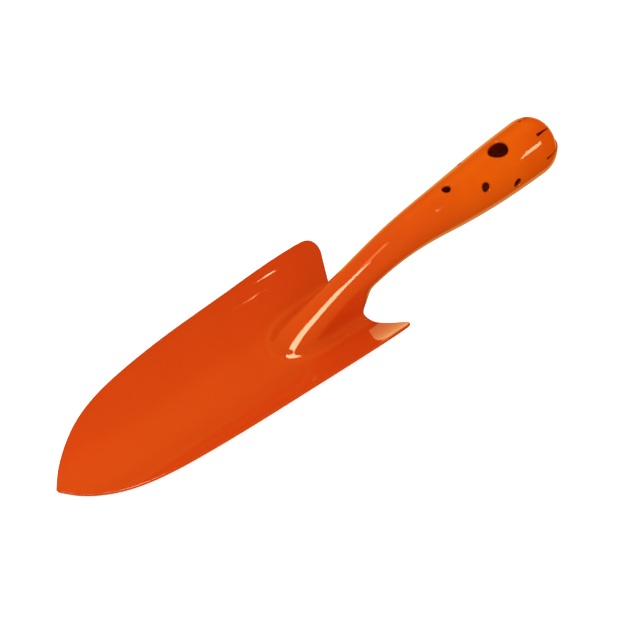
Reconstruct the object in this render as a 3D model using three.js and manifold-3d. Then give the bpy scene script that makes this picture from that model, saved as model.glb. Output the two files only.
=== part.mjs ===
// One-piece pressed steel hand trowel, in mm: +X points to the tip, +Y to one side, +Z up.
// One sheet makes the blade, the neck, the rolled grip and the folded petals of its end.
// A point of the sheet is given by its station (distance from the tip along the length)
// and its spread (distance from the centre line, measured across the sheet).
import * as THREE from "three";
import { mergeVertices } from "three/addons/utils/BufferGeometryUtils.js";
import Module from "manifold-3d";

const wasm = await Module();
wasm.setup();

// Sheet and blade
const OVERALL = 295;
const SHEET = 1.3;
const WIDTH = [
  // station, half width of the blade
  [0, 0.6], [5, 7.1], [12, 14.0], [24, 22.2], [40, 28.1], [60, 31.5], [85, 33.8], [120, 35.6],
  [150, 37.0], [176, 37.2], [184, 37.2],
];
const TROUGH_RADIUS = 47;
const FLOOR_FLAT = 3; // half width of the flat strip along the bottom
const TIP_RISE = 0.8;
const TIP_RISE_LENGTH = 55;
const BLADE_LENGTH = 178.8; // tip to the corners of the rear horns, before rounding
const CORNER_RADIUS = 10.5;
const NOTCH_EASE = 0.08; // how gently the rear edge starts out from the neck

// Ridge, neck and grip
const CREST = [
  // station, height of the top of the ridge and of the tube
  [122, 0.65], [124, 2.0], [127, 4.2], [132, 7.3], [140, 11.0], [148, 14.6], [158, 19.1],
  [170, 24.2], [183, 29.5], [197, 34.1], [212, 37.3], [231, 40.2], [260, 45.0], [286, 48.8],
];
const RADIUS = [
  // station, radius of the ridge's top, then of the tube
  [122, 15.0], [132, 13.0], [142, 10.6], [152, 8.9], [162, 8.1], [170, 7.9], [183, 8.1],
  [197, 8.7], [212, 9.7], [231, 11.5], [260, 13.7], [286, 14.4],
];
const NOSE = 122; // front end of the ridge
const FLANK_LEAN = THREE.MathUtils.degToRad(74);
const BASE_FILLET = 7;
const SADDLE = 167; // the blade hands over to the neck
const NECK_HALF = 18.7; // half width of the flat sheet where it is narrowest
const NECK_HALF_UNTIL = 171; // it widens from here to the closed seam
const LIP_LENGTH = 5; // the rear edge turns up into the neck over this length
const LIP_FLARE = 3.3; // and spreads this far
const CLOSED = 188; // the rolled edges meet underneath
const SEAM = 0.8;

// Holes of the grip: station, angle from the top in degrees
const HOLE_RADIUS = 2.4;
const ROUND_HOLES = [
  [229, 0], [245.6, 49.5], [245.6, -49.5], [263, 84], [263, -84],
];
const HANG_STATION = 262;
const HANG_LENGTH = 11;
const HANG_WIDTH = 10.2;
const HANG_TAPER = 0.2; // the egg-shaped hanging hole is narrower towards the tip

// End petals: the seam is one of the slits
const PETALS = 7;
const PETAL_LIFT = [0.2, 0.9, 0, 0.1, 0.2, 0, 0.3]; // how far each tip stands proud
const PETAL_ROOT = 282;
const DOME_LENGTH = 12.8;
const DOME_FULLNESS = 2.3;
const PETAL_END = 0.9; // share of the quarter turn at which the tips stop
const SLIT = 1.6;
const SLIT_AT_TIP = 0.4;

const clamp = (t) => Math.min(1, Math.max(0, t));
const smooth = (t) => t * t * (3 - 2 * t);

// Smooth curve through a table of [station, value].
function along(table, s) {
  const last = table.length - 1;
  if (s <= table[0][0]) return table[0][1];
  if (s >= table[last][0]) return table[last][1];
  const i = table.findIndex((row) => row[0] > s) - 1;
  const slope = (k) => {
    const a = table[Math.max(k - 1, 0)];
    const b = table[Math.min(k + 1, last)];
    return (b[1] - a[1]) / (b[0] - a[0]);
  };
  const [s0, v0] = table[i];
  const [s1, v1] = table[i + 1];
  const d = s1 - s0;
  const t = (s - s0) / d;
  const held = v0 + (v1 - v0) * smooth(t);
  return held + d * t * (1 - t) * (slope(i) * (1 - t) - slope(i + 1) * t);
}

const floorAt = (s) => SHEET / 2 + TIP_RISE * clamp(1 - s / TIP_RISE_LENGTH) ** 2;

// Where a side of the ridge with this lean runs into the trough.
function foot(s, r, top, lean) {
  const reach = TROUGH_RADIUS - BASE_FILLET;
  const y = (r + BASE_FILLET) * Math.sin(lean) - FLOOR_FLAT;
  const z = top - r + (r + BASE_FILLET) * Math.cos(lean) - floorAt(s) - TROUGH_RADIUS;
  const b = y * Math.cos(lean) - z * Math.sin(lean);
  const inside = reach ** 2 - y * y - z * z;
  const flank = -b + Math.sqrt(Math.max(b * b + inside, 0));
  const angle = Math.atan2(y + flank * Math.cos(lean), -z + flank * Math.sin(lean));
  return { inside, flank, angle };
}

// The cross-section at a station: crest arc, straight side, base fillet, trough.
const sections = new Map();
function sectionAt(s) {
  if (sections.has(s)) return sections.get(s);
  const r = along(RADIUS, s);
  const top = s <= NOSE ? floorAt(s) : along(CREST, s);
  let lean = 0;
  if (s > NOSE) {
    lean = FLANK_LEAN;
    if (foot(s, r, top, lean).inside < 0) {
      let low = 0;
      for (let k = 0; k < 40; k++) {
        const mid = (low + lean) / 2;
        if (foot(s, r, top, mid).inside < 0) lean = mid;
        else low = mid;
      }
      lean = low;
    }
    lean += (Math.PI - lean) * smooth(clamp((s - SADDLE) / (CLOSED - SADDLE)));
  }
  const { flank, angle } = s > NOSE ? foot(s, r, top, lean) : { flank: FLOOR_FLAT, angle: 0 };
  const arcEnd = s > NOSE ? r * lean : 0;
  const flankEnd = arcEnd + flank;
  const filletEnd = flankEnd + (s > NOSE ? BASE_FILLET * (lean + angle) : 0);
  const made = { s, r, top, lean, angle, arcEnd, flankEnd, filletEnd };
  sections.set(s, made);
  return made;
}

// Middle of the sheet at a station and a spread, as [across, up].
function across(s, spread) {
  const c = sectionAt(s);
  const a = Math.abs(spread);
  let y;
  let z;
  if (a <= c.arcEnd) {
    y = c.r * Math.sin(a / c.r);
    z = c.top - c.r + c.r * Math.cos(a / c.r);
  } else if (a <= c.flankEnd) {
    y = c.r * Math.sin(c.lean) + (a - c.arcEnd) * Math.cos(c.lean);
    z = c.top - c.r + c.r * Math.cos(c.lean) - (a - c.arcEnd) * Math.sin(c.lean);
  } else {
    const reach = TROUGH_RADIUS - BASE_FILLET;
    const turn = c.angle - (c.filletEnd - a) / BASE_FILLET;
    const centre = floorAt(s) + TROUGH_RADIUS;
    if (a <= c.filletEnd) {
      y = FLOOR_FLAT + reach * Math.sin(c.angle) + BASE_FILLET * Math.sin(turn);
      z = centre - reach * Math.cos(c.angle) - BASE_FILLET * Math.cos(turn);
    } else {
      const theta = c.angle + (a - c.filletEnd) / TROUGH_RADIUS;
      y = FLOOR_FLAT + TROUGH_RADIUS * Math.sin(theta);
      z = centre - TROUGH_RADIUS * Math.cos(theta);
    }
  }
  return [spread < 0 ? -y : y, z];
}

// Spread of the rim, of the neck's free edge and of the tube's seam edge.
function rimSpread(s) {
  const c = sectionAt(s);
  const out = along(WIDTH, s) - FLOOR_FLAT;
  if (out < 0) return along(WIDTH, s);
  return c.filletEnd + TROUGH_RADIUS * (Math.asin(out / TROUGH_RADIUS) - c.angle);
}
const seamSpread = (s) => Math.PI * along(RADIUS, s) - SEAM / 2;
function neckSpread(s) {
  const left = 1 - clamp((s - SADDLE) / LIP_LENGTH);
  const closing = smooth(clamp((s - NECK_HALF_UNTIL) / (CLOSED - NECK_HALF_UNTIL)));
  const edge = NECK_HALF + (seamSpread(CLOSED) - NECK_HALF) * closing;
  return edge + LIP_FLARE * (1 - Math.sqrt(1 - left ** 2));
}

const place = (s, spread) => {
  const [y, z] = across(s, spread);
  return new THREE.Vector3(OVERALL / 2 - s, y, z);
};

// Middle of the sheet moved by half its thickness to the upper (1) or lower (-1) side.
function skin(s, spread, side) {
  const step = 0.05;
  const alongS = place(s + step, spread).sub(place(s - step, spread));
  const alongA = place(s, spread + step).sub(place(s, spread - step));
  const normal = alongA.cross(alongS).normalize();
  return place(s, spread).addScaledVector(normal, (side * SHEET) / 2);
}

// A closed shell from a grid of points of the upper and of the lower skin.
function shell(rows, columns, pointAt) {
  const positions = [];
  const index = [];
  for (const side of [1, -1])
    for (let i = 0; i <= rows; i++)
      for (let j = 0; j <= columns; j++)
        positions.push(...pointAt(i / rows, j / columns, side).toArray());
  const at = (side, i, j) => side * (rows + 1) * (columns + 1) + i * (columns + 1) + j;
  const quad = (a, b, c, d) => index.push(a, b, c, a, c, d);
  for (let i = 0; i < rows; i++)
    for (let j = 0; j < columns; j++) {
      quad(at(0, i, j), at(0, i, j + 1), at(0, i + 1, j + 1), at(0, i + 1, j));
      quad(at(1, i, j), at(1, i + 1, j), at(1, i + 1, j + 1), at(1, i, j + 1));
    }
  for (let i = 0; i < rows; i++) {
    quad(at(0, i, 0), at(0, i + 1, 0), at(1, i + 1, 0), at(1, i, 0));
    quad(at(0, i, columns), at(1, i, columns), at(1, i + 1, columns), at(0, i + 1, columns));
  }
  for (let j = 0; j < columns; j++) {
    quad(at(0, 0, j), at(1, 0, j), at(1, 0, j + 1), at(0, 0, j + 1));
    quad(at(0, rows, j), at(0, rows, j + 1), at(1, rows, j + 1), at(1, rows, j));
  }
  const geometry = new THREE.BufferGeometry();
  geometry.setAttribute("position", new THREE.Float32BufferAttribute(positions, 3));
  geometry.setIndex(index);
  return geometry;
}

const group = new THREE.Group();
const ENAMEL = 0xe04a10;
function add(name, geometry, color = ENAMEL) {
  geometry.computeVertexNormals();
  const material = new THREE.MeshStandardMaterial({ color, roughness: 0.28, metalness: 0.0 });
  const mesh = new THREE.Mesh(geometry, material);
  mesh.name = name;
  group.add(mesh);
}

// Blade: grid lines run from the blunt tip to the swept rear edge, and those inside the
// lips go on into the neck and the tube.
const INNER = 24;
const OUTER = 8;
const LIP_SHARE = neckSpread(SADDLE) / rimSpread(SADDLE);
function bladeShare(v) {
  const j = v * (INNER + 2 * OUTER);
  const out = (k) => LIP_SHARE + (1 - LIP_SHARE) * Math.sin((k / OUTER) * (Math.PI / 2));
  if (j < OUTER) return -out(OUTER - j);
  if (j > OUTER + INNER) return out(j - OUTER - INNER);
  return LIP_SHARE * ((2 * (j - OUTER)) / INNER - 1);
}
function rearEdge(share) {
  const out = clamp((Math.abs(share) - LIP_SHARE) / (1 - LIP_SHARE));
  const rim = rimSpread(BLADE_LENGTH);
  const past = Math.max(0, CORNER_RADIUS - (1 - Math.abs(share)) * rim);
  const rounding = CORNER_RADIUS - Math.sqrt(CORNER_RADIUS ** 2 - past ** 2);
  const eased = Math.hypot(out, NOTCH_EASE) - NOTCH_EASE;
  const whole = Math.hypot(1, NOTCH_EASE) - NOTCH_EASE;
  return SADDLE + ((BLADE_LENGTH - SADDLE) * eased) / whole - rounding;
}
add("blade", shell(36, INNER + 2 * OUTER, (u, v, side) => {
  const share = bladeShare(v);
  const s = 0.01 + (rearEdge(share) - 0.01) * u;
  return skin(s, share * rimSpread(s), side);
}));
add("neck", shell(16, INNER, (u, v, side) => {
  const s = SADDLE + (CLOSED - SADDLE) * u * (0.5 + 0.5 * u);
  return skin(s, (2 * v - 1) * neckSpread(s), side);
}));

// Grip: the rolled tube with its holes punched square to the sheet.
const solidOf = (geometry) => {
  const bare = geometry.clone();
  bare.deleteAttribute("normal");
  bare.deleteAttribute("uv");
  const merged = mergeVertices(bare, 1e-3);
  const vertProperties = new Float32Array(merged.attributes.position.array);
  const triVerts = new Uint32Array(merged.index.array);
  return new wasm.Manifold(new wasm.Mesh({ numProp: 3, vertProperties, triVerts }));
};
function geometryOf(solid) {
  const mesh = solid.getMesh();
  const geometry = new THREE.BufferGeometry();
  geometry.setAttribute("position", new THREE.BufferAttribute(mesh.vertProperties, 3));
  geometry.setIndex(new THREE.BufferAttribute(mesh.triVerts, 1));
  return geometry;
}
function holeOutline(length, width, taper) {
  const steps = 24;
  const points = [];
  for (let k = 0; k < steps; k++) {
    const turn = (k / steps) * 2 * Math.PI;
    const aside = (width / 2) * Math.sin(turn) * (1 - taper * Math.cos(turn));
    points.push(new THREE.Vector2((length / 2) * Math.cos(turn), aside));
  }
  return new THREE.Shape(points);
}
// A punch through the wall at a station and an angle from the top; its x runs to the tip.
function punch(station, degrees, length, width, taper) {
  const depth = 6;
  const tool = new THREE.ExtrudeGeometry(holeOutline(length, width, taper), {
    depth,
    bevelEnabled: false,
  });
  const spread = THREE.MathUtils.degToRad(degrees) * along(RADIUS, station);
  const from = skin(station, spread, -depth / SHEET);
  const out = skin(station, spread, 1).sub(from).normalize();
  const ahead = place(station - 1, spread).sub(place(station + 1, spread)).normalize();
  const sideways = out.clone().cross(ahead).normalize();
  tool.applyMatrix4(new THREE.Matrix4().makeBasis(sideways.clone().cross(out), sideways, out));
  return tool.translate(from.x, from.y, from.z);
}
let tube = solidOf(shell(24, INNER, (u, v, side) => {
  const s = CLOSED + (PETAL_ROOT - CLOSED) * u;
  return skin(s, (2 * v - 1) * seamSpread(s), side);
}));
for (const [station, degrees] of ROUND_HOLES)
  tube = tube.subtract(solidOf(punch(station, degrees, 2 * HOLE_RADIUS, 2 * HOLE_RADIUS, 0)));
tube = tube.subtract(solidOf(punch(HANG_STATION, 0, HANG_LENGTH, HANG_WIDTH, HANG_TAPER)));
add("handle_tube", geometryOf(tube));

// End petals: tongues between slits, folded in from the tube to a blunt dome.
const ROOT_RADIUS = along(RADIUS, PETAL_ROOT);
const ROOT_TOP = along(CREST, PETAL_ROOT);
const RISE = (ROOT_TOP - along(CREST, PETAL_ROOT - 20)) / 20;
const domeRadius = (bend) => ROOT_RADIUS * Math.cos((bend * Math.PI) / 2) ** (2 / DOME_FULLNESS);
function domePoint(bend, angle) {
  const past = DOME_LENGTH * Math.sin((bend * Math.PI) / 2) ** (2 / DOME_FULLNESS);
  const rho = domeRadius(bend);
  const middle = ROOT_TOP - ROOT_RADIUS + RISE * past;
  const x = OVERALL / 2 - PETAL_ROOT - past;
  return new THREE.Vector3(x, rho * Math.sin(angle), middle + rho * Math.cos(angle));
}
function domeSkin(bend, angle, halves) {
  const step = 1e-3;
  const alongBend = domePoint(bend + step, angle).sub(domePoint(Math.max(bend - step, 0), angle));
  const alongTurn = domePoint(bend, angle + step).sub(domePoint(bend, angle - step));
  const normal = alongTurn.cross(alongBend).normalize();
  return domePoint(bend, angle).addScaledVector(normal, (halves * SHEET) / 2);
}
PETAL_LIFT.forEach((lift, k) => {
  const from = Math.PI - ((k + 1) * 2 * Math.PI) / PETALS;
  const petal = shell(8, 5, (u, v, side) => {
    const bend = 0.02 + (PETAL_END - 0.02) * u;
    const slit = SLIT + (SLIT_AT_TIP - SLIT) * u;
    const trim = slit / 2 / domeRadius(bend);
    const angle = from + trim + ((2 * Math.PI) / PETALS - 2 * trim) * v;
    return domeSkin(bend, angle, side + (2 * lift * u) / SHEET);
  });
  add("end_petal_" + (k + 1), petal);
});

// The origin lies under the middle of the object's box, on the surface it lies on.
const bounds = new THREE.Box3().setFromObject(group);
const middle = bounds.getCenter(new THREE.Vector3());
group.traverse((mesh) => {
  if (mesh.isMesh) mesh.geometry.translate(-middle.x, -middle.y, -bounds.min.z);
});

export default group;
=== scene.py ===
"""Looks of the one-piece pressed steel hand trowel: orange enamel on one formed sheet.

The sheet is one surface, given by a station (mm from the tip along the length) and a spread
(mm from the centre line, measured across the sheet), as in the CAD. Its middle surface is
worked out here at a finer step, eased where the press eases it, and given its thickness,
rounded edges and enamel.
"""

import math

import bpy
import numpy as np
from mathutils import Matrix, Vector
from mathutils.geometry import delaunay_2d_cdt
from mathutils.kdtree import KDTree


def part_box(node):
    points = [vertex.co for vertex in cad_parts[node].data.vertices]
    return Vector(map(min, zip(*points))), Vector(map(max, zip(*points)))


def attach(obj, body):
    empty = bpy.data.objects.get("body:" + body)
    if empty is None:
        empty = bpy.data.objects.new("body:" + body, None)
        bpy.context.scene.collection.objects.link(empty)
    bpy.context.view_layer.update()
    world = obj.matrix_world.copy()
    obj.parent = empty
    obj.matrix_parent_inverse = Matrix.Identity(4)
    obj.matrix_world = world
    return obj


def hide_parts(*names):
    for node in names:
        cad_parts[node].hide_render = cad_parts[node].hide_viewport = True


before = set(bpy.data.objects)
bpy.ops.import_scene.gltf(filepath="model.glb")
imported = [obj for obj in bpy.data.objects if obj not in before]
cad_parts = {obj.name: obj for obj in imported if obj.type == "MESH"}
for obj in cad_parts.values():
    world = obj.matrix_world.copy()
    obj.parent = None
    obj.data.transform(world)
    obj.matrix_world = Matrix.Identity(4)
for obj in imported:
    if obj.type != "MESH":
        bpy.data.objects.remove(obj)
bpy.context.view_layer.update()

MM = 0.001
TIP_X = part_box("blade")[1].x / MM
BODY = "root"

# ---------------------------------------------------------------- driving dimensions, mm
SHEET = 1.3
WIDTH = [  # station, half width of the blade
    (0, 0.6), (5, 7.1), (12, 14.0), (24, 22.2), (40, 28.1), (60, 31.5), (85, 33.8),
    (120, 35.6), (150, 37.0), (176, 37.2), (184, 37.2),
]
TROUGH_RADIUS = 47
FLOOR_FLAT = 3  # half width of the flat strip along the bottom
TIP_RISE = 0.8
TIP_RISE_LENGTH = 55
BLADE_LENGTH = 178.8  # tip to the corners of the rear horns, before rounding
CORNER_RADIUS = 10.5
NOTCH_EASE = 0.08  # how gently the rear edge starts out from the neck
CREST = [  # station, height of the top of the ridge and of the tube
    (122, 0.65), (124, 2.0), (127, 4.2), (132, 7.3), (140, 11.0), (148, 14.6), (158, 19.1),
    (170, 24.2), (183, 29.5), (197, 34.1), (212, 37.3), (231, 40.2), (260, 45.0), (286, 48.8),
]
RADIUS = [  # station, radius of the ridge's top, then of the tube
    (122, 15.0), (132, 13.0), (142, 10.6), (152, 8.9), (162, 8.1), (170, 7.9), (183, 8.1),
    (197, 8.7), (212, 9.7), (231, 11.5), (260, 13.7), (286, 14.4),
]
NOSE = 122  # front end of the ridge
FLANK_LEAN = math.radians(74)
BASE_FILLET = 7
SADDLE = 167  # the blade hands over to the neck
NECK_HALF = 18.7
NECK_HALF_UNTIL = 171
LIP_LENGTH = 5  # the rear edge turns up into the neck over this length
LIP_FLARE = 3.3  # and spreads this far
CLOSED = 188  # the rolled edges meet underneath
SEAM = 0.8

# Round holes: station, angle from the top in degrees
HOLE_RADIUS = 2.5
ROUND_HOLES = [(229, 0), (245.6, 49.5), (245.6, -49.5), (263, 84), (263, -84)]
HANG_STATION = 262
HANG_LENGTH = 11
HANG_WIDTH = 10.2
HANG_TAPER = 0.2  # the egg-shaped hanging hole is narrower towards the tip

PETALS = 7
PETAL_LIFT = [0.2, 1.4, 0, 0.1, 0.2, 0, 0.3]  # how far each tip stands proud
PETAL_ROOT = 282
DOME_LENGTH = 12.8
DOME_FULLNESS = 2.3
PETAL_END = 0.97  # share of the quarter turn at which the tips stop
SLIT = 2.1
SLIT_AT_TIP = 0.35

EASE_ALONG = 2.2  # how far the press softens its corners
EASE_ACROSS = 1.6
EDGE_BULGE = 0.6  # a sheet edge bulges by this share of half the thickness
RIM_FADE = 0.4  # the enamel is painted darker this close to a cut edge, as painted shade


# ---------------------------------------------------------------- the sheet's middle surface
def along(table, s):
    """Smooth curve through a table of (station, value)."""
    knots, values = np.array(table, float).T
    step = np.diff(knots)
    rate = np.diff(values) / step
    system = np.eye(len(knots))
    target = np.zeros(len(knots))
    for k in range(1, len(knots) - 1):
        system[k, k - 1 : k + 2] = step[k - 1], 2 * (step[k - 1] + step[k]), step[k]
        target[k] = 6 * (rate[k] - rate[k - 1])
    bend = np.linalg.solve(system, target)
    s = np.clip(s, knots[0], knots[-1])
    i = np.clip(np.searchsorted(knots, s, side="right") - 1, 0, len(step) - 1)
    a = s - knots[i]
    b = knots[i + 1] - s
    h = step[i]
    curved = (bend[i] * b**3 + bend[i + 1] * a**3) / (6 * h)
    straight = (values[i] / h - bend[i] * h / 6) * b + (values[i + 1] / h - bend[i + 1] * h / 6) * a
    return curved + straight


def smooth(t):
    t = np.clip(t, 0, 1)
    return t * t * (3 - 2 * t)


def floor_at(s):
    return SHEET / 2 + TIP_RISE * np.clip(1 - s / TIP_RISE_LENGTH, 0, 1) ** 2


def foot(s, r, top, lean):
    """Where a side of the ridge with this lean runs into the trough."""
    reach = TROUGH_RADIUS - BASE_FILLET
    y = (r + BASE_FILLET) * np.sin(lean) - FLOOR_FLAT
    z = top - r + (r + BASE_FILLET) * np.cos(lean) - floor_at(s) - TROUGH_RADIUS
    b = y * np.cos(lean) - z * np.sin(lean)
    inside = reach**2 - y * y - z * z
    flank = -b + np.sqrt(np.maximum(b * b + inside, 0))
    angle = np.arctan2(y + flank * np.cos(lean), -z + flank * np.sin(lean))
    return inside, flank, angle


def section_table():
    """The cross-section's measures at closely spaced stations."""
    s = np.arange(-5, PETAL_ROOT + 8, 0.1)
    r = along(RADIUS, s)
    ridge = s > NOSE
    top = np.where(ridge, along(CREST, s), floor_at(s))
    low = np.zeros_like(s)
    high = np.full_like(s, FLANK_LEAN)
    for _ in range(40):
        mid = (low + high) / 2
        over = foot(s, r, top, mid)[0] < 0
        high = np.where(over, mid, high)
        low = np.where(over, low, mid)
    lean = low + (math.pi - low) * smooth((s - SADDLE) / (CLOSED - SADDLE))
    _, flank, angle = foot(s, r, top, lean)
    lean = np.where(ridge, lean, 0)
    flank = np.where(ridge, flank, FLOOR_FLAT)
    angle = np.where(ridge, angle, 0)
    return {"s": s, "r": r, "top": top, "lean": lean, "flank": flank, "angle": angle}


SECTIONS = section_table()


def measure(name, s):
    return np.interp(s, SECTIONS["s"], SECTIONS[name])


def pressed(s, spread):
    """Middle of the sheet before easing, in mm."""
    r, top, lean, flank, angle = (
        measure(name, s) for name in ("r", "top", "lean", "flank", "angle")
    )
    a = np.abs(spread)
    arc_end = r * lean
    flank_end = arc_end + flank
    fillet_end = flank_end + BASE_FILLET * (lean + angle)
    reach = TROUGH_RADIUS - BASE_FILLET
    centre = floor_at(s) + TROUGH_RADIUS

    y_arc = r * np.sin(a / r)
    z_arc = top - r + r * np.cos(a / r)
    y_flank = r * np.sin(lean) + (a - arc_end) * np.cos(lean)
    z_flank = top - r + r * np.cos(lean) - (a - arc_end) * np.sin(lean)
    turn = angle - (fillet_end - a) / BASE_FILLET
    y_fillet = FLOOR_FLAT + reach * np.sin(angle) + BASE_FILLET * np.sin(turn)
    z_fillet = centre - reach * np.cos(angle) - BASE_FILLET * np.cos(turn)
    theta = angle + (a - fillet_end) / TROUGH_RADIUS
    y_trough = FLOOR_FLAT + TROUGH_RADIUS * np.sin(theta)
    z_trough = centre - TROUGH_RADIUS * np.cos(theta)

    zones = [a <= arc_end, a <= flank_end, a <= fillet_end]
    y = np.select(zones, [y_arc, y_flank, y_fillet], y_trough)
    z = np.select(zones, [z_arc, z_flank, z_fillet], z_trough)
    return np.stack([TIP_X - s, np.sign(spread) * y, z], axis=-1)


def formed(s, spread):
    """Middle of the sheet with the press's corners eased, in mm."""
    s, spread = np.broadcast_arrays(np.asarray(s, float), np.asarray(spread, float))
    ease = smooth((s - 70) / 40) * (1 - smooth((s - 190) / 25))
    total = np.zeros(s.shape + (3,))
    weights = 0
    for i in range(-2, 3):
        for j in range(-2, 3):
            weight = math.exp(-(i * i + j * j) / 3)
            moved = pressed(s + i * EASE_ALONG / 2 * ease, spread + j * EASE_ACROSS / 2 * ease)
            total += weight * moved
            weights += weight
    return total / weights


def rim_spread(s):
    angle, lean = measure("angle", s), measure("lean", s)
    fillet_end = measure("r", s) * lean + measure("flank", s) + BASE_FILLET * (lean + angle)
    out = along(WIDTH, s) - FLOOR_FLAT
    theta = np.arcsin(np.clip(out / TROUGH_RADIUS, 0, 1))
    return np.where(out < 0, along(WIDTH, s), fillet_end + TROUGH_RADIUS * (theta - angle))


def seam_spread(s):
    return math.pi * along(RADIUS, s) - SEAM / 2


def neck_spread(s):
    """Half width of the flat sheet from the notch, where it is narrowest, to the closed seam."""
    left = 1 - np.clip((s - SADDLE) / LIP_LENGTH, 0, 1)
    closing = smooth((s - NECK_HALF_UNTIL) / (CLOSED - NECK_HALF_UNTIL))
    edge = NECK_HALF + (seam_spread(CLOSED) - NECK_HALF) * closing
    return edge + LIP_FLARE * (1 - np.sqrt(1 - left**2))


def dome_radius(bend):
    return along(RADIUS, PETAL_ROOT) * np.cos(bend * math.pi / 2) ** (2 / DOME_FULLNESS)


def domed(bend, angle):
    """Middle of the sheet on the folded end, from its root (bend 0) to its pole (bend 1)."""
    bend, angle = np.broadcast_arrays(np.asarray(bend, float), np.asarray(angle, float))
    past = DOME_LENGTH * np.sin(bend * math.pi / 2) ** (2 / DOME_FULLNESS)
    rho = dome_radius(bend)
    top = along(CREST, PETAL_ROOT)
    rise = (top - along(CREST, PETAL_ROOT - 20)) / 20
    middle = top - along(RADIUS, PETAL_ROOT) + rise * past
    x = TIP_X - PETAL_ROOT - past
    return np.stack([x, rho * np.sin(angle), middle + rho * np.cos(angle)], axis=-1)


def normals_of(surface, u, v, step_u, step_v):
    """Unit normals on the surface's outer side."""
    along_u = surface(u + step_u, v) - surface(u - step_u, v)
    along_v = surface(u, v + step_v) - surface(u, v - step_v)
    normal = np.cross(along_v, along_u)
    return normal / np.linalg.norm(normal, axis=-1, keepdims=True)


# ---------------------------------------------------------------- from middle surface to mesh
def grid_faces(rows, columns):
    """Quads of a grid of points listed row by row."""
    i, j = np.meshgrid(np.arange(rows - 1), np.arange(columns - 1), indexing="ij")
    a = (i * columns + j).ravel()
    return [list(map(int, quad)) for quad in zip(a, a + 1, a + columns + 1, a + columns)]


def rim_share(verts, count, edge):
    """How much each point is part of a cut edge: 1 on the edge, fading over RIM_FADE."""
    tree = KDTree(max(len(edge), 1))
    for n, k in enumerate(edge):
        tree.insert(verts[k], n)
    tree.balance()
    gaps = np.array([tree.find(point)[2] or 0 for point in verts[:count]])
    share = np.exp(-((gaps / RIM_FADE) ** 2))
    return np.concatenate([share, share, np.ones(len(verts) - 2 * count)]).tolist()


def sheet_piece(name, points, normals, faces, joined, material):
    """A sheet of the full thickness from its middle surface, with rounded free edges.

    Edges between two joined points run on into the next piece and stay open.
    """
    count = len(points)
    half = SHEET / 2
    seen = {}
    for face in faces:
        for a, b in zip(face, face[1:] + face[:1]):
            seen[(a, b)] = seen.get((a, b), 0) + 1
    free = [
        (a, b) for a, b in seen if (b, a) not in seen and not (joined[a] and joined[b])
    ]
    outward = np.zeros((count, 3))
    for a, b in free:
        way = points[b] - points[a]
        side = np.cross(way, normals[a] + normals[b])
        side /= max(np.linalg.norm(side), 1e-9)
        outward[a] += side
        outward[b] += side
    edge = sorted({k for pair in free for k in pair})
    place = {k: n for n, k in enumerate(edge)}
    out = outward[edge]
    out /= np.maximum(np.linalg.norm(out, axis=1, keepdims=True), 1e-9)
    up = normals[edge]
    verts = [points + half * normals, points - half * normals]
    shading = [normals, -normals]
    rings = 5
    for k in range(1, rings + 1):
        turn = math.pi * k / (rings + 1)
        verts.append(points[edge] + half * (math.cos(turn) * up + EDGE_BULGE * math.sin(turn) * out))
        facing = EDGE_BULGE * math.cos(turn) * up + math.sin(turn) * out
        shading.append(facing / np.linalg.norm(facing, axis=1, keepdims=True))
    verts = np.concatenate(verts)
    shading = np.concatenate(shading)

    def ring(level, k):
        if level == 0:
            return k
        if level == rings + 1:
            return count + k
        return 2 * count + (level - 1) * len(edge) + place[k]

    polygons = [list(face) for face in faces]
    polygons += [[count + k for k in reversed(face)] for face in faces]
    for a, b in free:
        for level in range(rings + 1):
            polygons.append([ring(level, b), ring(level, a), ring(level + 1, a), ring(level + 1, b)])
    mesh = bpy.data.meshes.new(name)
    mesh.from_pydata((verts * MM).tolist(), [], polygons)
    mesh.shade_smooth()
    mesh.normals_split_custom_set_from_vertices(shading.tolist())
    # the rim share marks where the enamel gets its painted shade at cut edges
    rim = mesh.attributes.new("rim", "FLOAT", "POINT")
    rim.data.foreach_set("value", rim_share(verts, count, edge))
    mesh.materials.append(material)
    piece = bpy.data.objects.new(name, mesh)
    bpy.context.scene.collection.objects.link(piece)
    return piece


def dress(piece, node):
    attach(piece, BODY)
    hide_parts(node)


# ---------------------------------------------------------------- materials
BLADE_COLOUR = (0.505, 0.038, 0.0030, 1)
# painted light: the grip's tone is painted lighter and yellower than the blade's, standing in for
# the light the grip catches
GRIP_PAINTED_LIGHT_COLOUR = (0.56, 0.068, 0.0006, 1)
DEEP_COLOUR = (0.47, 0.036, 0.0025, 1)
# painted shade: a darker colour for the rounded cut edges of the sheet
EDGE_SHADE_COLOUR = (0.25, 0.02, 0.002, 1)
SPECK_COLOUR = (0.3, 0.03, 0.002, 1)


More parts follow.
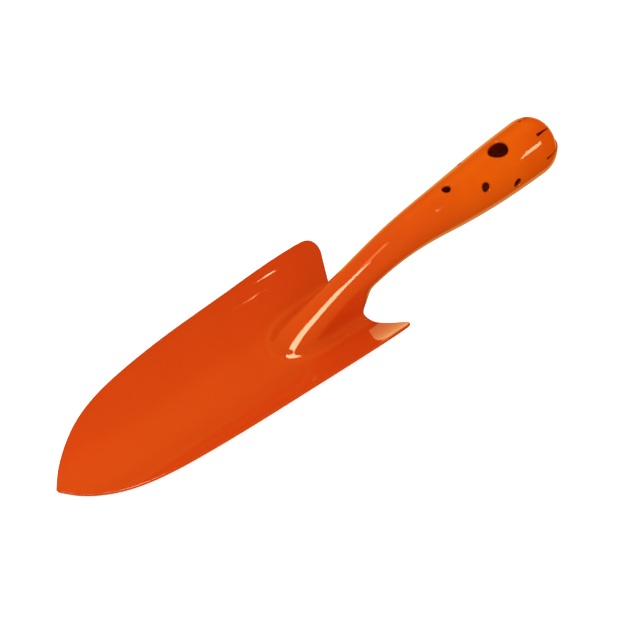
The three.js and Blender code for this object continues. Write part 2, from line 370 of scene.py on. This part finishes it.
def enamel():
    """Glossy orange enamel, a little uneven; painted lighter and yellower on the grip as painted
    light, and darker at cut edges as painted shade.
    """
    material = bpy.data.materials.new("orange_enamel")
    material.use_nodes = True
    nodes = material.node_tree.nodes
    links = material.node_tree.links
    shader = nodes["Principled BSDF"]
    shader.inputs["Specular Tint"].default_value = (1.0, 0.9, 0.75, 1)
    where = nodes.new("ShaderNodeTexCoord")

    def noise(scale, detail):
        node = nodes.new("ShaderNodeTexNoise")
        node.inputs["Scale"].default_value = scale
        node.inputs["Detail"].default_value = detail
        links.new(where.outputs["Object"], node.inputs["Vector"])
        return node.outputs["Fac"]

    def remap(value, low, high, to_low, to_high):
        node = nodes.new("ShaderNodeMapRange")
        node.inputs["From Min"].default_value = low
        node.inputs["From Max"].default_value = high
        node.inputs["To Min"].default_value = to_low
        node.inputs["To Max"].default_value = to_high
        links.new(value, node.inputs["Value"])
        return node.outputs["Result"]

    def tinted(share, colour, tint):
        """A colour with a share of a fixed tint mixed in."""
        node = nodes.new("ShaderNodeMix")
        node.data_type = "RGBA"
        sockets = {socket.identifier: socket for socket in node.inputs}
        links.new(share, node.inputs["Factor"])
        links.new(colour, sockets["A_Color"])
        sockets["B_Color"].default_value = tint
        return next(out for out in node.outputs if out.identifier == "Result_Color")

    parts = nodes.new("ShaderNodeSeparateXYZ")
    links.new(where.outputs["Object"], parts.inputs["Vector"])
    # painted light: the colour blends from the blade's tone to a lighter, yellower tone along the
    # grip
    painted_light_along_grip = remap(parts.outputs["X"], -0.03, -0.10, 0, 1)
    blade = nodes.new("ShaderNodeRGB")
    blade.outputs["Color"].default_value = BLADE_COLOUR
    colour = tinted(painted_light_along_grip, blade.outputs["Color"], GRIP_PAINTED_LIGHT_COLOUR)
    colour = tinted(remap(noise(38, 3), 0.35, 0.75, 0, 0.5), colour, DEEP_COLOUR)
    colour = tinted(remap(noise(1500, 1), 0.76, 0.80, 0, 0.5), colour, SPECK_COLOUR)
    # painted shade: the rounded cut edges and the skin just beside them are painted darker
    rim = nodes.new("ShaderNodeAttribute")
    rim.attribute_name = "rim"
    colour = tinted(remap(rim.outputs["Fac"], 0, 1, 0, 0.18), colour, EDGE_SHADE_COLOUR)
    links.new(colour, shader.inputs["Base Color"])
    links.new(remap(noise(90, 2), 0.3, 0.7, 0.02, 0.05), shader.inputs["Roughness"])
    bump = nodes.new("ShaderNodeBump")
    bump.inputs["Strength"].default_value = 0.008
    bump.inputs["Distance"].default_value = 0.0004
    links.new(noise(420, 2), bump.inputs["Height"])
    links.new(bump.outputs["Normal"], shader.inputs["Normal"])
    return material


ENAMEL = enamel()

# ---------------------------------------------------------------- blade and neck
INNER = 96
OUTER = 36
lip_share = float(neck_spread(SADDLE) / rim_spread(SADDLE))


def rear_edge(share):
    """Station where the blade ends, at a share of the way out to the rim."""
    out = np.clip((np.abs(share) - lip_share) / (1 - lip_share), 0, 1)
    past = np.maximum(0, CORNER_RADIUS - (1 - np.abs(share)) * float(rim_spread(BLADE_LENGTH)))
    rounding = CORNER_RADIUS - np.sqrt(CORNER_RADIUS**2 - past**2)
    eased = np.hypot(out, NOTCH_EASE) - NOTCH_EASE
    whole = math.hypot(1, NOTCH_EASE) - NOTCH_EASE
    return SADDLE + (BLADE_LENGTH - SADDLE) * eased / whole - rounding


outer_shares = lip_share + (1 - lip_share) * np.sin(np.linspace(0, math.pi / 2, OUTER + 1)[1:])
inner_shares = lip_share * np.linspace(-1, 1, INNER + 1)
shares = np.concatenate([-outer_shares[::-1], inner_shares, outer_shares])


def sheet_points(s, spread):
    points = formed(s, spread).reshape(-1, 3)
    normals = normals_of(formed, s, spread, 0.05, 0.05).reshape(-1, 3)
    return points, normals


def make_blade():
    rows = 260
    u = np.linspace(0, 1, rows)[:, None]
    start = 0.02
    s = start + (rear_edge(shares)[None, :] - start) * u
    spread = shares[None, :] * rim_spread(s)
    points, normals = sheet_points(s, spread)
    joined = np.zeros(s.shape, bool)
    joined[-1] = np.abs(shares) <= lip_share + 1e-9
    faces = grid_faces(rows, len(shares))
    return sheet_piece("blade_sheet", points, normals, faces, joined.ravel(), ENAMEL)


def make_neck():
    rows = 60
    u = np.linspace(0, 1, rows)[:, None]
    s = SADDLE + (CLOSED - SADDLE) * u * (0.35 + 0.65 * u) + 0 * inner_shares[None, :]
    spread = inner_shares[None, :] / lip_share * neck_spread(s)
    points, normals = sheet_points(s, spread)
    joined = np.zeros(s.shape, bool)
    joined[0] = True
    joined[-1] = True
    faces = grid_faces(rows, len(inner_shares))
    return sheet_piece("neck_saddle", points, normals, faces, joined.ravel(), ENAMEL)


# ---------------------------------------------------------------- grip with its punched holes
def hole_outline(station, degrees, length, width, taper, steps):
    """A round or egg-shaped hole's outline on the flat sheet, as (station, spread) points."""
    turns = np.linspace(0, 2 * math.pi, steps, endpoint=False)
    ahead = length / 2 * np.cos(turns)
    aside = width / 2 * np.sin(turns) * (1 - taper * np.cos(turns))
    spread = math.radians(degrees) * float(along(RADIUS, station))
    return np.stack([station - ahead, spread + aside], axis=1)


def make_tube():
    rows = 130
    columns = 96
    s, share = np.meshgrid(
        np.linspace(CLOSED, PETAL_ROOT, rows), np.linspace(-1, 1, columns), indexing="ij"
    )
    flat = np.stack([s, share * seam_spread(s)], axis=-1).reshape(-1, 2)
    across = 2 * HOLE_RADIUS
    outlines = [hole_outline(*hole, across, across, 0, 40) for hole in ROUND_HOLES]
    outlines.append(hole_outline(HANG_STATION, 0, HANG_LENGTH, HANG_WIDTH, HANG_TAPER, 64))
    keep = np.ones(len(flat), bool)
    for outline in outlines:
        gap = np.linalg.norm(flat[:, None] - outline[None], axis=2).min(axis=1)
        middle = outline.mean(axis=0)
        inside = np.linalg.norm(flat - middle, axis=1) < HOLE_RADIUS
        keep &= (gap > 0.35) & ~inside
    border = np.zeros((rows, columns), bool)
    border[[0, -1]] = True
    border[:, [0, -1]] = True
    order = list(range(columns)) + [i * columns + columns - 1 for i in range(1, rows)]
    order += [(rows - 1) * columns + j for j in range(columns - 2, -1, -1)]
    order += [i * columns for i in range(rows - 2, 0, -1)]
    inner = flat[keep & ~border.ravel()]
    coords = [*flat[order], *inner]
    loops = [list(range(len(order)))]
    for outline in outlines:
        loops.append(list(range(len(coords), len(coords) + len(outline))))
        coords += [*outline]
    flat_points, _, faces, _, _, _ = delaunay_2d_cdt(
        [Vector(c) for c in coords], [], loops, 0, 1e-6
    )
    flat_points = np.array([tuple(p) for p in flat_points])
    kept = []
    for face in faces:
        centre = flat_points[face].mean(axis=0)
        if not any(inside_outline(centre, outline) for outline in outlines):
            kept.append(list(face))
    used = sorted({k for face in kept for k in face})
    renumber = {k: n for n, k in enumerate(used)}
    kept = [[renumber[k] for k in face] for face in kept]
    flat_points = flat_points[used]
    points, normals = sheet_points(flat_points[:, 0], flat_points[:, 1])
    joined = (flat_points[:, 0] < CLOSED + 1e-4) | (flat_points[:, 0] > PETAL_ROOT - 1e-4)
    kept = facing_out(kept, points, normals)
    return sheet_piece("grip_tube", points, normals, kept, joined, ENAMEL)


def inside_outline(point, outline):
    """Is a point of the flat sheet inside a closed outline?"""
    a = outline
    b = np.roll(outline, -1, axis=0)
    crosses = (a[:, 1] > point[1]) != (b[:, 1] > point[1])
    rise = np.where(crosses, b[:, 1] - a[:, 1], 1)
    reach = a[:, 0] + (point[1] - a[:, 1]) * (b[:, 0] - a[:, 0]) / rise
    return bool(np.sum(crosses & (point[0] < reach)) % 2)


def facing_out(faces, points, normals):
    """The faces wound so that they look along the normals."""
    wound = []
    for face in faces:
        a, b, c = (points[k] for k in face[:3])
        out = float(np.dot(np.cross(b - a, c - a), normals[face[0]])) > 0
        wound.append(face if out else face[::-1])
    return wound


# ---------------------------------------------------------------- folded end
def make_petal(number):
    rows = 40
    columns = 25
    start = math.pi - number * 2 * math.pi / PETALS
    u = np.linspace(0, 1, rows)[:, None]
    v = np.linspace(0, 1, columns)[None, :]
    bend = PETAL_END * u
    slit = SLIT_AT_TIP + (SLIT - SLIT_AT_TIP) * (1 - u) ** 2
    trim = slit / 2 / dome_radius(bend)
    angle = start + trim + (2 * math.pi / PETALS - 2 * trim) * v
    bend = bend + 0 * v
    points = domed(bend, angle).reshape(-1, 3)
    normals = normals_of(domed, np.maximum(bend, 0.01), angle, 1e-3, 1e-3).reshape(-1, 3)
    lift = PETAL_LIFT[number - 1] * u + 0 * v
    points = points + lift.reshape(-1, 1) * normals
    joined = np.zeros((rows, columns), bool)
    joined[0] = True
    faces = grid_faces(rows, columns)
    name = f"folded_petal_{number}"
    return sheet_piece(name, points, normals, faces, joined.ravel(), ENAMEL)


blade = make_blade()
neck = make_neck()
grip = [make_tube()]
dress(blade, "blade")
dress(neck, "neck")
dress(grip[0], "handle_tube")
for number in range(1, PETALS + 1):
    grip.append(make_petal(number))
    dress(grip[-1], f"end_petal_{number}")

# ---------------------------------------------------------------- studio
scene = bpy.context.scene
scene.view_settings.view_transform = "Standard"
REACH = 1.6  # from the trowel to each softbox, m
CREAM = (1.0, 0.9, 0.65)
AMBER = (1.0, 0.82, 0.32)


def aimed(azimuth, elevation, roll):
    """Right, up and back vectors of a lamp or camera that looks home from a direction, degrees."""
    az, el, turn = (math.radians(angle) for angle in (azimuth, elevation, roll))
    back = Vector((math.sin(az) * math.cos(el), -math.cos(az) * math.cos(el), math.sin(el)))
    right = Vector((0, 0, 1)).cross(back).normalized()
    up = back.cross(right)
    return (
        math.cos(turn) * right + math.sin(turn) * up,
        math.cos(turn) * up - math.sin(turn) * right,
        back,
    )


def stand(holder, place, axes):
    holder.matrix_world = Matrix.Translation(place) @ Matrix(axes).transposed().to_4x4()
    scene.collection.objects.link(holder)


def softbox(name, colour, azimuth, elevation, width, height, tilt, radiance, lit=None):
    """A rectangle that the enamel mirrors, seen from the trowel in a direction in degrees.

    It lights every piece, or only the ones listed.
    """
    light = bpy.data.lights.new(name, "AREA")
    light.shape = "RECTANGLE"
    light.size = width
    light.size_y = height
    light.energy = radiance * math.pi * width * height
    light.color = colour
    holder = bpy.data.objects.new(name, light)
    axes = aimed(azimuth, elevation, tilt)
    holder.visible_diffuse = False
    holder.visible_camera = False
    stand(holder, REACH * axes[2], axes)
    if lit:
        receivers = bpy.data.collections.new(name + "_lights")
        for piece in lit:
            receivers.objects.link(piece)
        holder.light_linking.receiver_collection = receivers


def make_floor():
    bpy.ops.mesh.primitive_plane_add(size=6, location=(0, 0, -0.0003))
    floor = bpy.context.object
    floor.name = "floor"
    material = bpy.data.materials.new("pale_floor")
    material.use_nodes = True
    shader = material.node_tree.nodes["Principled BSDF"]
    shader.inputs["Base Color"].default_value = (0.9, 0.9, 0.9, 1)
    shader.inputs["Roughness"].default_value = 1
    shader.inputs["Specular IOR Level"].default_value = 0
    shader.inputs["Emission Color"].default_value = (1, 1, 1, 1)
    shader.inputs["Emission Strength"].default_value = 0.6
    floor.data.materials.append(material)
    floor.visible_glossy = False
    floor.visible_diffuse = False


def make_surroundings():
    """A white tent, dimmer from below. Mirrored, it is dim and warm, brighter beyond the tip."""
    world = bpy.data.worlds.new("studio")
    world.use_nodes = True
    nodes = world.node_tree.nodes
    links = world.node_tree.links
    where = nodes.new("ShaderNodeTexCoord")
    parts = nodes.new("ShaderNodeSeparateXYZ")
    links.new(where.outputs["Generated"], parts.inputs["Vector"])

    def fade(value, start, end, from_strength, to_strength):
        node = nodes.new("ShaderNodeMapRange")
        node.inputs["From Min"].default_value = start
        node.inputs["From Max"].default_value = end
        node.inputs["To Min"].default_value = from_strength
        node.inputs["To Max"].default_value = to_strength
        links.new(value, node.inputs["Value"])
        return node.outputs["Result"]

    tent = nodes["Background"]
    tent.inputs["Color"].default_value = (1, 1, 1, 1)
    links.new(fade(parts.outputs["Z"], -0.8, 0.4, 0.75, 1.5), tent.inputs["Strength"])
    mirrored = nodes.new("ShaderNodeBackground")
    mirrored.inputs["Color"].default_value = (1.0, 0.62, 0.05, 1)
    over_far_side = nodes.new("ShaderNodeVectorMath")
    over_far_side.operation = "DOT_PRODUCT"
    over_far_side.inputs[1].default_value = (-0.42, -0.53, 0.735)
    links.new(where.outputs["Generated"], over_far_side.inputs[0])
    total = nodes.new("ShaderNodeMath")
    links.new(fade(parts.outputs["X"], -0.5, -0.1, 0.1, 1.0), total.inputs[0])
    links.new(fade(over_far_side.outputs["Value"], 0.9, 0.99, 0, 0.35), total.inputs[1])
    links.new(total.outputs["Value"], mirrored.inputs["Strength"])
    ray = nodes.new("ShaderNodeLightPath")
    choice = nodes.new("ShaderNodeMixShader")
    links.new(ray.outputs["Is Glossy Ray"], choice.inputs["Fac"])
    links.new(tent.outputs["Background"], choice.inputs[1])
    links.new(mirrored.outputs["Background"], choice.inputs[2])
    links.new(choice.outputs["Shader"], nodes["World Output"].inputs["Surface"])
    scene.world = world


make_floor()
make_surroundings()
# name, colour, azimuth, elevation, width and height in m, tilt, radiance, pieces lit
softbox("strip_beyond_tip", CREAM, 104, 64, 0.62, 0.66, 0, 17)
softbox("strip_beyond_tip_end", AMBER, 98, 81, 0.3, 0.25, 0, 4)
softbox("card_behind", AMBER, -46, -45, 3.0, 3.0, 0, 0.8, [neck, *grip])
softbox("horn_card", AMBER, -33.4, -7, 0.5, 1.36, 0, 1.15, [blade])
softbox("wall_glint_rear", CREAM, -145.8, 42.6, 0.015, 0.02, 0, 60, [blade])
softbox("wall_glint_front", AMBER, -138.8, 53.5, 0.01, 0.012, 0, 40, [blade])
softbox("tube_over_grip", CREAM, -147.5, 40, 0.06, 0.28, -22, 14, grip)
softbox("tube_over_shank", CREAM, -149.5, 58, 0.012, 0.12, -22, 14, grip)


# ---------------------------------------------------------------- camera
def make_camera():
    axes = aimed(141.39, 47.37, -1.67)
    distance = 0.8658
    target = Vector((TIP_X * MM - 0.14677, 0, 0.01594))
    data = bpy.data.cameras.new("camera")
    data.lens = 107.89
    data.sensor_width = 36
    data.shift_x = -0.007
    data.shift_y = -0.0047
    camera = bpy.data.objects.new("camera", data)
    stand(camera, target + distance * axes[2], axes)
    scene.camera = camera


make_camera()
